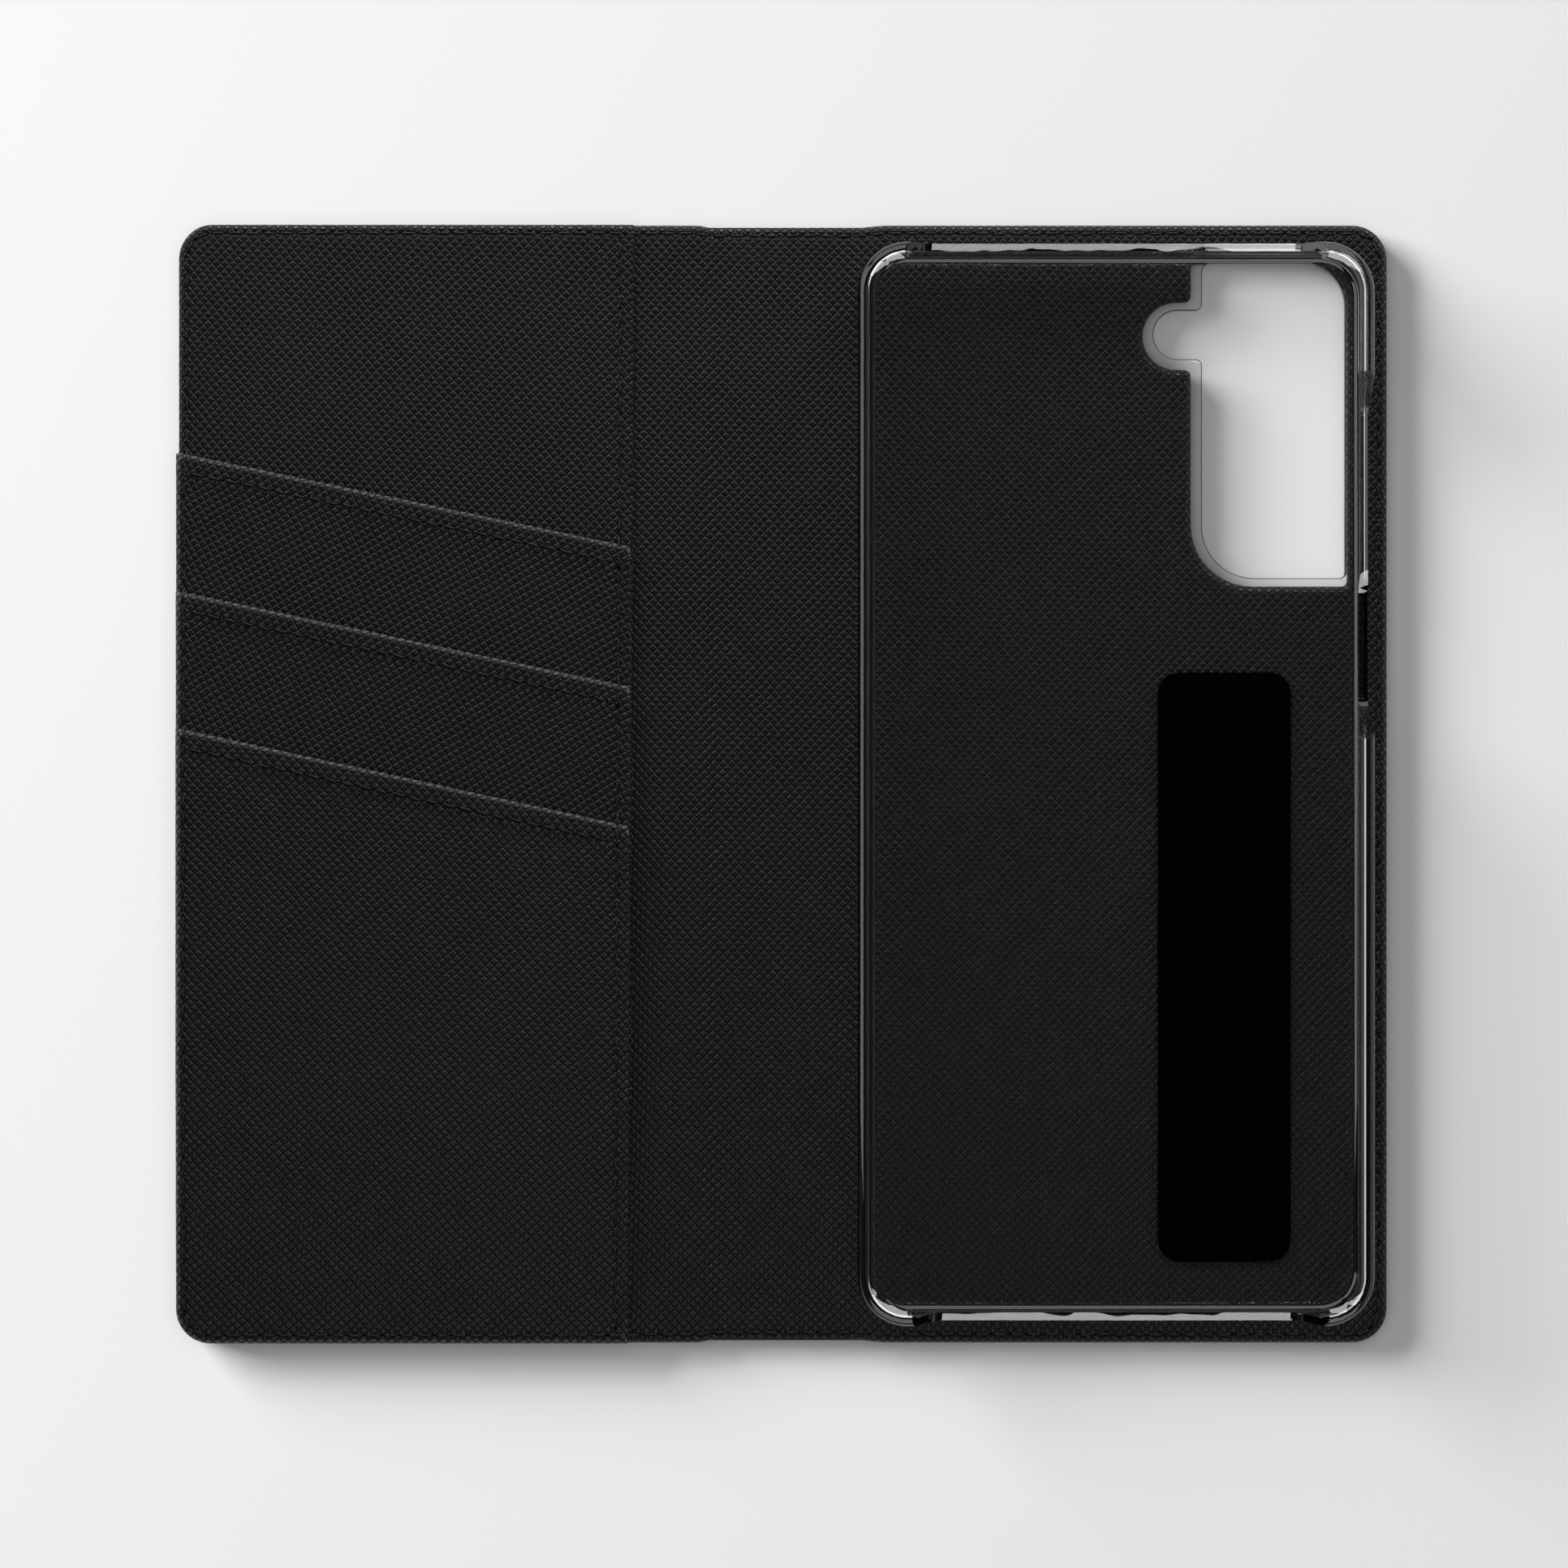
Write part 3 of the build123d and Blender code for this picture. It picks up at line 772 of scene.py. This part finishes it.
thread_mat = thread()
hole_shade_mat = hole()
lining_leather = leather("lining_leather", -45.0, 42.5)
outer_leather = leather("outer_leather", -45.2, 42.6)
panel_leather = leather("cash_pocket_leather", -48.2, 39.8)
pocket_leathers = [
    leather("top_pocket_leather", -59.0, 28.8, 0.9),
    leather("middle_pocket_leather", -57.7, 29.8, 0.9),
    leather("bottom_pocket_leather", -49.8, 41.2),
]


# ---------------------------------------------------------------- covers

COVER = [
    (-HALF_X, -HALF_Y, CORNER_R),
    (HALF_X, -HALF_Y, CORNER_R),
    (HALF_X, HALF_Y, CORNER_R),
    (-HALF_X, HALF_Y, CORNER_R),
]
# Spacing of the points inside a sheet, and how far in from its edge or its hem they start
GRID_STEP = 2.6
GRID_MARGIN = 3.4
HEM_MARGIN = 5.0
# Distances in from a cover's edge that get a row of points
EDGE_STEPS = [0.03, 0.1, 0.2, 0.34, 0.5, 0.7, 0.92, 1.12, 1.3, 1.48, 1.7, 2.0, 2.6]
fold_xs = list(np.arange(SPINE_HALF - 0.3, FOLD_END + 0.4, 0.3))
crease_xs = list(np.arange(BOARD_END - 1.7, BOARD_END + 0.7, 0.2))
side_xs = sorted(fold_xs + crease_xs)
columns = [-x for x in side_xs] + [-2.4, -2.0, -1.8, -1.6, -1.4, -1.2, -0.8, 0.0, 3.0, 3.8] + side_xs
cover_plan = fill(
    outline(COVER),
    [outline(COVER, d) for d in EDGE_STEPS] + [outline(WINDOW, -d, 1.5) for d in EDGE_STEPS[:9]],
    [[(x, -HALF_Y), (x, HALF_Y)] for x in columns],
    [WINDOW_LOOP],
    GRID_MARGIN,
    GRID_STEP,
)


def front_half(middle):
    return middle[:, 0] < 0


def back_half(middle):
    return middle[:, 0] > 0


lining_front = sheet_solid("lining_front", cover_plan, front_half, lining_top, lining_bottom, rim_distance)
lining_back = sheet_solid("lining_back", cover_plan, back_half, lining_top, lining_bottom, rim_distance)


def skin_upper(x, y):
    return skin_top(x, y), np.zeros(len(x))


skin_front = sheet_solid("outer_skin_front", cover_plan, front_half, skin_upper, skin_bottom, rim_distance)
skin_back = sheet_solid("outer_skin_back", cover_plan, back_half, skin_upper, skin_bottom, rim_distance)

# ---------------------------------------------------------------- pockets

PANEL = [
    (-HALF_X, -HALF_Y, CORNER_R),
    (PANEL_EDGE_LOW, -HALF_Y, 0.4),
    (PANEL_EDGE_TOP, HALF_Y, 0.4),
    (-HALF_X, HALF_Y, CORNER_R),
]
panel_rows = [outline(PANEL, d) for d in EDGE_STEPS]
panel_plan = fill(outline(PANEL), panel_rows, [], [], GRID_MARGIN, GRID_STEP)
cash_panel = sheet_solid(
    "cash_panel",
    panel_plan,
    None,
    lambda x, y: layer_top(-1, x, y),
    lambda x, y: layer_bottom(-1, x, y),
    edge_distance,
)

# Distances in from a pocket's edge that get a row of points, closer at its fold and its seam
POCKET_STEPS = [0.03, 0.1, 0.2, 0.32, 0.45, 0.7, 1.0, 1.3, 1.6, 2.0]
POCKET_STEPS += [2.25, 2.45, 2.6, 2.75, 2.95, 3.3, 3.8, 4.3]
POCKET_NAMES = ["top", "middle", "bottom"]
pockets = []
for index, word in enumerate(POCKET_NAMES):
    last = index == len(FLOORS)
    low = -HALF_Y if last else FLOORS[index]
    right = PANEL_EDGE_LOW - POCKET_EDGE_BACK
    top_right = free_edge_x(MOUTHS[index][1]) - POCKET_EDGE_BACK
    shape = [
        (-HALF_X, low, CORNER_R if last else 0.3),
        (free_edge_x(low) - POCKET_EDGE_BACK, low, 0.4),
        (top_right, mouth_y(index, top_right), 0.35),
        (-HALF_X, mouth_y(index, -HALF_X), 0.35),
    ]
    drapes = [[(-HALF_X, y), (right, y)] for f in FLOORS[:index] for y in np.arange(f + 3, f - 14, -1.5)]
    rows = [outline(shape, d) for d in POCKET_STEPS]
    plan = fill(outline(shape), rows, drapes, [], HEM_MARGIN, GRID_STEP)
    pocket = sheet_solid(
        f"card_pocket_{word}_sheet",
        plan,
        None,
        lambda x, y, k=index: layer_top(k, x, y),
        lambda x, y, k=index: layer_bottom(k, x, y),
        edge_distance,
        pockets=True,
    )
    pockets.append(pocket)

# ---------------------------------------------------------------- stitching


def half_loop(side, inset, x0):
    """The cover's seam line on one side of x0, as an open path."""
    loop = np.array(outline(COVER, inset, 0.8))
    keep = loop[side * loop[:, 0] > side * x0]
    far_y = HALF_Y - inset
    start = keep[np.argsort(np.arctan2(keep[:, 1], side * keep[:, 0]))]
    return [(x0, -far_y), *map(tuple, start.tolist()), (x0, far_y)]


def skin_face(x, y):
    return skin_bottom(x, y)[0]


def lining_face(x, y):
    return lining_top(x, y)[0]


front_edge = half_loop(-1, SEAM, -0.2)
back_edge = half_loop(1, SEAM, 0.2)
edge_stitch_front = stitches(
    "edge_stitching_front",
    [(front_edge, front_top, 1, 0, False), (front_edge, skin_face, -1, 0, False)],
)
edge_stitch_back = stitches(
    "edge_stitching_back",
    [(back_edge, lining_face, 1, 0, False), (back_edge, skin_face, -1, 0, False)],
)
hem_threads = []
for index, word in enumerate(POCKET_NAMES):
    x0, x1 = -HALF_X + 2.0, PANEL_EDGE_LOW - PANEL_SEAM - 0.9
    slope = (MOUTHS[index][1] - MOUTHS[index][0]) / (MOUTH_X[1] - MOUTH_X[0])
    down = HEM_SEAM * math.hypot(1, slope)
    path = divide([(x0, mouth_y(index, x0) - down), (x1, mouth_y(index, x1) - down)], 1.0)
    run = (path, lambda x, y, k=index: layer_top(k, x, y)[0], 1, -5, True)
    hem_threads.append(stitches(f"{word}_hem_thread", [run]))
y0, y1 = -HALF_Y + 2.2, HALF_Y - 2.2
edge_path = divide([(free_edge_x(y) - PANEL_SEAM, y) for y in (y1, y0)], 1.0)
panel_thread = stitches("panel_edge_thread", [(edge_path, front_top, 1, 0, True)])

# ---------------------------------------------------------------- finishes and bodies


def paint(obj, material):
    obj.data.materials.clear()
    obj.data.materials.append(material)


paint(lining_front, lining_leather)
paint(lining_back, lining_leather)
paint(skin_front, outer_leather)
paint(skin_back, outer_leather)
paint(cash_panel, panel_leather)
for pocket, material in zip(pockets, pocket_leathers):
    paint(pocket, material)

for name in ("front_cover_board", "back_cover_board", "spine_stiffener"):
    for material_slot in nodes[name].material_slots:
        material_slot.material = cardboard()
for material_slot in nodes["tray_adhesive_pad"].material_slots:
    material_slot.material = adhesive()
for material_slot in nodes["phone_tray"].material_slots:
    material_slot.material = clear_plastic()
weld = nodes["phone_tray"].modifiers.new("weld", "WELD")
weld.merge_threshold = 0.000002
soften = nodes["phone_tray"].modifiers.new("soften_edges", "BEVEL")
soften.limit_method = "ANGLE"
soften.angle_limit = math.radians(50)
soften.width = 0.0002
soften.segments = 3
soften.use_clamp_overlap = True
even = nodes["phone_tray"].modifiers.new("even_normals", "WEIGHTED_NORMAL")
even.weight = 100
even.keep_sharp = False

for piece in (lining_front, skin_front, edge_stitch_front):
    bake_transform(piece)
for piece in (lining_back, skin_back, edge_stitch_back):
    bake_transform(piece)
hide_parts("front_cover_lining", "front_fold_lining", "spine_lining")
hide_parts("back_cover_lining", "back_fold_lining")
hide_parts("front_cover_skin", "front_fold_skin", "spine_skin")
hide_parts("back_cover_skin", "back_fold_skin")
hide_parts("front_cover_stitching", "spine_stitching")
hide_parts("back_cover_stitching")
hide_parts("cash_pocket_panel")
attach(cash_panel, "front_cover")
for word, pocket, hem_thread in zip(POCKET_NAMES, pockets, hem_threads):
    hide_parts(f"card_pocket_{word}")
    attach(pocket, "front_cover")
    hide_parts(f"{word}_hem_stitching")
    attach(hem_thread, "front_cover")
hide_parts("panel_edge_stitching")
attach(panel_thread, "front_cover")


# ---------------------------------------------------------------- stage, light and camera

bpy.ops.mesh.primitive_circle_add(vertices=96, radius=1.5, fill_type="NGON", location=(0, 0, -0.0002))
floor = bpy.context.object
floor.name = "floor"
pale = Nodes("pale_floor")
ground = pale.add("ShaderNodeTexCoord").outputs["Object"]
tint = pale.mix(pale.noise(ground, 3.0).outputs["Fac"], grey(0.80), grey(0.82))
pale.principled(Base_Color=tint, Roughness=0.9, Specular_IOR_Level=0.1)
paint(floor, pale.mat)


def softbox(name, location, target, size, power):
    light = bpy.data.lights.new(name, "AREA")
    light.shape = "RECTANGLE"
    light.size, light.size_y = size
    light.energy = power
    obj = bpy.data.objects.new(name, light)
    obj.location = location
    obj.rotation_euler = (Vector(target) - Vector(location)).to_track_quat("-Z", "Y").to_euler()
    bpy.context.collection.objects.link(obj)
    return obj


def only_on(receiver, light):
    """Keeps a light's own light to one object. Everything still casts its shadow there."""
    receivers = bpy.data.collections.new("lit_by_" + light.name)
    receivers.objects.link(receiver)
    light.light_linking.receiver_collection = receivers


def leather_only(light):
    """Keeps a light's own light off the floor and the tray."""
    others = bpy.data.collections.new("not_lit_by_" + light.name)
    others.objects.link(floor)
    others.objects.link(nodes["phone_tray"])
    for kept_off in others.collection_objects:
        kept_off.light_linking.link_state = "EXCLUDE"
    light.light_linking.receiver_collection = others


top_light = softbox("top_softbox", (0.0, 0.30, 0.125), (0, 0.03, 0), (0.8, 0.06), 1.6)
top_light.data.cycles.use_multiple_importance_sampling = False
leather_only(top_light)
fill_light = softbox("fill_softbox", (0.0, -0.24, 0.32), (0, -0.05, 0), (0.5, 0.4), 0.31)
fill_light.data.cycles.use_multiple_importance_sampling = False
leather_only(fill_light)
tray = nodes["phone_tray"]


def reflected_only(light):
    """A light that shows in the tray's own reflections and nowhere else."""
    light.visible_transmission = False
    light.visible_diffuse = False
    only_on(tray, light)


for name, place, size, power in (
    ("tray_top_strip", (0.05, 0.34, 0.2), (0.6, 0.3), 1.3),
    ("tray_low_strip", (0.05, -0.34, 0.2), (0.6, 0.3), 1.3),
    ("tray_left_strip", (-0.30, 0.10, 0.14), (0.4, 0.25), 0.8),
    ("tray_right_strip", (0.38, 0.0, 0.10), (0.6, 0.05), 0.2),
):
    reflected_only(softbox(name, place, (0.05, 0, 0.005), size, power))
for name, side in (("tray_top_glint", 1), ("tray_low_glint", -1)):
    above = (0.13, 0.222 * side)
    reflected_only(softbox(name, (*above, 1.0), (*above, 0), (0.26, 0.0175), 0.12))
only_on(floor, softbox("floor_side_light", (-2.0, 1.2, 0.62), (0, 0, 0), (1.6, 0.75), 165.0))
only_on(floor, softbox("floor_top_light", (0.0, 0.0, 1.3), (0, 0, 0), (2.4, 2.4), 10.0))

world = bpy.data.worlds.new("studio")
bpy.context.scene.world = world
world.use_nodes = True
tree = world.node_tree
tree.nodes.clear()
direction = tree.nodes.new("ShaderNodeTexCoord")
split = tree.nodes.new("ShaderNodeSeparateXYZ")
sky_ramp = tree.nodes.new("ShaderNodeValToRGB")
seen = tree.nodes.new("ShaderNodeLightPath")
backdrop = tree.nodes.new("ShaderNodeMix")
backdrop.data_type = "RGBA"
background = tree.nodes.new("ShaderNodeBackground")
world_out = tree.nodes.new("ShaderNodeOutputWorld")
tree.links.new(direction.outputs["Generated"], split.inputs[0])
tree.links.new(split.outputs["Z"], sky_ramp.inputs[0])
tree.links.new(seen.outputs["Is Camera Ray"], backdrop.inputs[0])
tree.links.new(sky_ramp.outputs[0], backdrop.inputs[6])
backdrop.inputs[7].default_value = grey(0.85)
tree.links.new(backdrop.outputs[2], background.inputs["Color"])
tree.links.new(background.outputs[0], world_out.inputs["Surface"])
stops = sky_ramp.color_ramp.elements
stops[0].position, stops[0].color = 0.0, grey(0.11)
stops[1].position, stops[1].color = 1.0, grey(0.012)
for height, glow in ((0.55, 0.12), (0.78, 0.06), (0.9, 0.018)):
    stops.new(height).color = grey(glow)

camera_data = bpy.data.cameras.new("camera")
camera_data.lens = 87.9
camera_data.sensor_width = 36.0
camera_data.clip_start = 0.01
camera_data.clip_end = 20.0
camera = bpy.data.objects.new("camera", camera_data)
camera.location = (0.0003, 0.0, 0.556)
camera.rotation_euler = (0, 0, 0)
bpy.context.collection.objects.link(camera)
bpy.context.scene.camera = camera
bpy.context.scene.view_settings.view_transform = "Standard"
